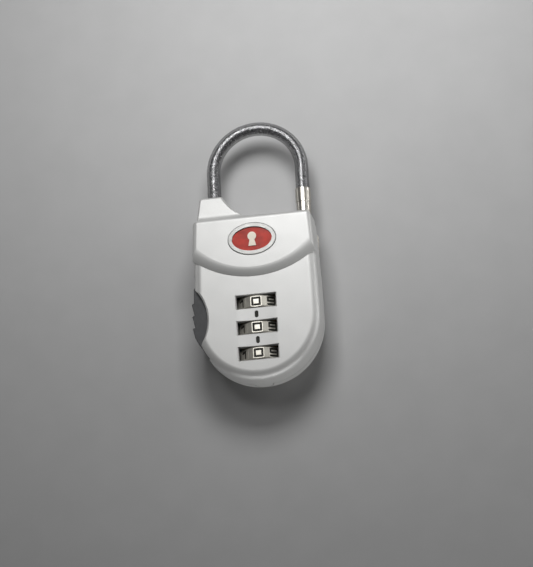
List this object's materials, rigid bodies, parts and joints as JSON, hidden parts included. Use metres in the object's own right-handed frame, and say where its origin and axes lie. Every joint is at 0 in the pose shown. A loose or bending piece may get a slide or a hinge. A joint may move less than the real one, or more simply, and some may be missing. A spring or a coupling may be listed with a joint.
{
  "type": "cable luggage lock",
  "caption": "Combination luggage lock with a die-cast body, numbered dials, a thumb slider and a clear-jacketed steel cable loop that pulls out of its socket.",
  "frame": {"origin": "on the flat back face, in the middle of the body's length and width", "axes": "+X to the right seen from the front, +Y towards the cable loop, +Z out of the front face; the lock lies on its back"},
  "size_m": [0.0336, 0.0723, 0.0162],
  "materials": {
    "silver_paint": "fine metallic silver paint, satin",
    "nickel": "nickel plate, satin-bright",
    "numeral_ink": "black paint filled into the engraving",
    "index_ink": "black paint",
    "steel": "plain steel",
    "spring_steel": "drawn spring steel",
    "zinc": "die-cast zinc, as cast",
    "brass": "turned brass",
    "slider_grey": "moulded nylon, fine texture",
    "polished": "polished plated steel",
    "red_enamel": "gloss enamel",
    "cream_enamel": "gloss enamel",
    "clear_jacket": "clear flexible PVC",
    "wire_rope": "stranded galvanised wire"
  },
  "bodies": {
    "body": {"front_cover": "silver_paint", "back_cover": "silver_paint", "badge_bezel": "polished", "badge_enamel": "red_enamel", "badge_keyhole": "cream_enamel", "index_marks": "index_ink", "dial_spindle": "steel", "spindle_washers": "steel", "detent_spring": "spring_steel", "key_cylinder_housing": "zinc", "slider_spring": "spring_steel", "ejector_spring": "spring_steel", "spring_post": "zinc", "cover_rivets": "steel", "cable_anchor": "steel", "anchor_pin": "steel", "cable_jacket_0": "clear_jacket", "cable_rope_0": "wire_rope"},
    "dial_1_wheel": {"dial_1": "nickel", "dial_1_numerals": "numeral_ink", "sleeve_1": "brass"},
    "dial_2_wheel": {"dial_2": "nickel", "dial_2_numerals": "numeral_ink", "sleeve_2": "brass"},
    "dial_3_wheel": {"dial_3": "nickel", "dial_3_numerals": "numeral_ink", "sleeve_3": "brass"},
    "slider": {"release_slider": "slider_grey", "slider_carriage": "steel"},
    "bolt": {"lock_bolt": "steel"},
    "key_core": {"key_plug": "brass", "key_wafers": "brass", "key_cam": "steel"},
    "reset": {"reset_slide": "polished", "reset_arm": "steel"},
    "cable_link_1": {"cable_jacket_1": "clear_jacket", "cable_rope_1": "wire_rope"},
    "cable_link_2": {"cable_jacket_2": "clear_jacket", "cable_rope_2": "wire_rope"},
    "cable_link_3": {"cable_jacket_3": "clear_jacket", "cable_rope_3": "wire_rope"},
    "cable_link_4": {"cable_jacket_4": "clear_jacket", "cable_rope_4": "wire_rope"},
    "cable_link_5": {"cable_jacket_5": "clear_jacket", "cable_rope_5": "wire_rope"},
    "cable_free_end": {"cable_jacket_6": "clear_jacket", "cable_rope_6": "wire_rope", "cable_ferrule": "polished"},
    "ejector": {"ejector_plunger": "steel"}
  },
  "joints": [
    {"name": "dial_1_turn", "type": "hinge", "parent": "body", "child": "dial_1_wheel", "pos_m": [0, -0.00133, 0.0082], "axis": [0, 1, 0], "continuous": true},
    {"name": "dial_2_turn", "type": "hinge", "parent": "body", "child": "dial_2_wheel", "pos_m": [0, -0.00828, 0.0082], "axis": [0, 1, 0], "continuous": true},
    {"name": "dial_3_turn", "type": "hinge", "parent": "body", "child": "dial_3_wheel", "pos_m": [0, -0.01523, 0.0082], "axis": [0, 1, 0], "continuous": true},
    {"name": "slider_pull", "type": "slide", "parent": "body", "child": "slider", "axis": [0, -1, 0], "range_m": [0, 0.0026], "stiffness_N_per_m": 120, "springref_m": -0.002, "deforming": ["slider_spring"]},
    {"name": "bolt_draw", "type": "slide", "parent": "body", "child": "bolt", "axis": [-1, 0, 0], "range_m": [0, 0.0019]},
    {"name": "key_turn", "type": "hinge", "parent": "body", "child": "key_core", "pos_m": [0.0148, 0.0084, 0.0056], "axis": [1, 0, 0], "range_deg": [0, 90]},
    {"name": "reset_push", "type": "slide", "parent": "body", "child": "reset", "axis": [0, -1, 0], "range_m": [0, 0.0016]},
    {"name": "cable_bend_1", "type": "hinge", "parent": "body", "child": "cable_link_1", "pos_m": [-0.0107, 0.03055, 0.008], "axis": [0, 0, 1], "range_deg": [0, 17]},
    {"name": "cable_bend_2", "type": "hinge", "parent": "cable_link_1", "child": "cable_link_2", "pos_m": [-0.01018, 0.04008, 0.008], "axis": [0, 0, 1], "range_deg": [0, 15.32]},
    {"name": "cable_bend_3", "type": "hinge", "parent": "cable_link_2", "child": "cable_link_3", "pos_m": [-0.00415, 0.04718, 0.008], "axis": [0, 0, 1], "range_deg": [0, 11.15]},
    {"name": "cable_bend_4", "type": "hinge", "parent": "cable_link_3", "child": "cable_link_4", "pos_m": [0.00516, 0.04772, 0.008], "axis": [0, 0, 1], "range_deg": [-1, 1]},
    {"name": "cable_bend_5", "type": "hinge", "parent": "cable_link_4", "child": "cable_link_5", "pos_m": [0.01196, 0.04134, 0.008], "axis": [0, 0, 1], "range_deg": [-16.52, 0]},
    {"name": "cable_bend_6", "type": "hinge", "parent": "cable_link_5", "child": "cable_free_end", "pos_m": [0.01295, 0.0319, 0.008], "axis": [0, 0, 1], "range_deg": [-26.56, 0]},
    {"name": "ejector_rise", "type": "slide", "parent": "body", "child": "ejector", "axis": [0, 1, 0], "range_m": [0, 0.0023], "deforming": ["ejector_spring"]}
  ],
  "couplings": [
    {"joint": "bolt_draw", "follows": "slider_pull", "ratio": 0.73},
    {"joint": "cable_bend_2", "follows": "cable_bend_1", "ratio": 0.8716},
    {"joint": "cable_bend_3", "follows": "cable_bend_1", "ratio": 0.6265},
    {"joint": "cable_bend_4", "follows": "cable_bend_1", "ratio": -0.0228},
    {"joint": "cable_bend_5", "follows": "cable_bend_1", "ratio": -0.9424},
    {"joint": "cable_bend_6", "follows": "cable_bend_1", "ratio": -1.5329},
    {"joint": "ejector_rise", "follows": "cable_bend_1", "m_per_rad": 0.00741}
  ]
}
